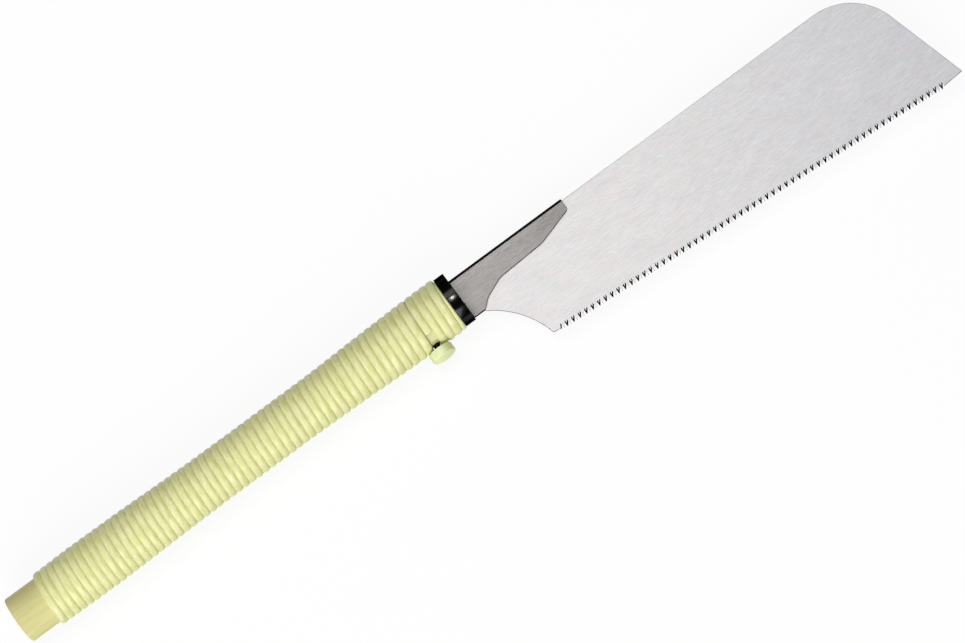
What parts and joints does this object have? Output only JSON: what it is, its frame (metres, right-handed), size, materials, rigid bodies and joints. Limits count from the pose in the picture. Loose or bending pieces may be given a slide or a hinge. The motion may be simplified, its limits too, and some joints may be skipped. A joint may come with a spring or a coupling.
{
  "type": "pull saw",
  "caption": "Single-edged pull saw with a thin toothed blade hooked in a folded steel holder, whose tang slides into a cane-bound oval handle and is clamped by a thumbscrew.",
  "frame": {"origin": "centre of the butt end of the handle", "axes": "+X along the handle to the toe of the blade, +Y to the back of the blade, +Z square to the blade"},
  "size_m": [0.5386, 0.0761, 0.0246],
  "materials": {
    "bare_wood": "sanded",
    "cane": "glossy",
    "ferrule_enamel": "glossy black",
    "blade_steel": "satin",
    "holder_steel": "brushed",
    "plain_steel": "plain",
    "stud_steel": "blackened",
    "washer_steel": "bright",
    "knob_plastic": "satin"
  },
  "bodies": {
    "handle": {"handle_core": "bare_wood", "cane_strip_front": "cane", "cane_strip_1": "cane", "cane_strip_2": "cane", "cane_strip_3": "cane", "ferrule": "ferrule_enamel", "tang_socket": "plain_steel", "socket_pin": "plain_steel", "clamp_nut": "plain_steel"},
    "blade_unit": {"blade_holder": "holder_steel", "tang_spacer": "plain_steel", "tang_rivet_1": "plain_steel", "tang_rivet_2": "plain_steel", "hook_pin": "plain_steel"},
    "blade": {"saw_blade": "blade_steel"},
    "shoe": {"clamp_shoe": "plain_steel"},
    "thumbscrew": {"thumb_stud": "stud_steel", "thumb_knob": "knob_plastic", "knob_washer": "washer_steel"}
  },
  "joints": [
    {"name": "tang_slide", "type": "slide", "parent": "handle", "child": "blade_unit", "axis": [1, 0, 0], "range_m": [0, 0.062]},
    {"name": "blade_swing", "type": "hinge", "parent": "blade_unit", "child": "blade", "pos_m": [0.283, -0.0005, 0], "axis": [0, 0, -1], "range_deg": [0, 22]},
    {"name": "shoe_press", "type": "slide", "parent": "handle", "child": "shoe", "axis": [0, -1, 0], "range_m": [0, 0.00175]},
    {"name": "screw_turn", "type": "hinge", "parent": "shoe", "child": "thumbscrew", "pos_m": [0.2486, -0.0161, 0], "axis": [0, -1, 0], "range_deg": [0, 900]}
  ],
  "couplings": [
    {"joint": "screw_turn", "follows": "shoe_press", "rad_per_m": 8976}
  ]
}
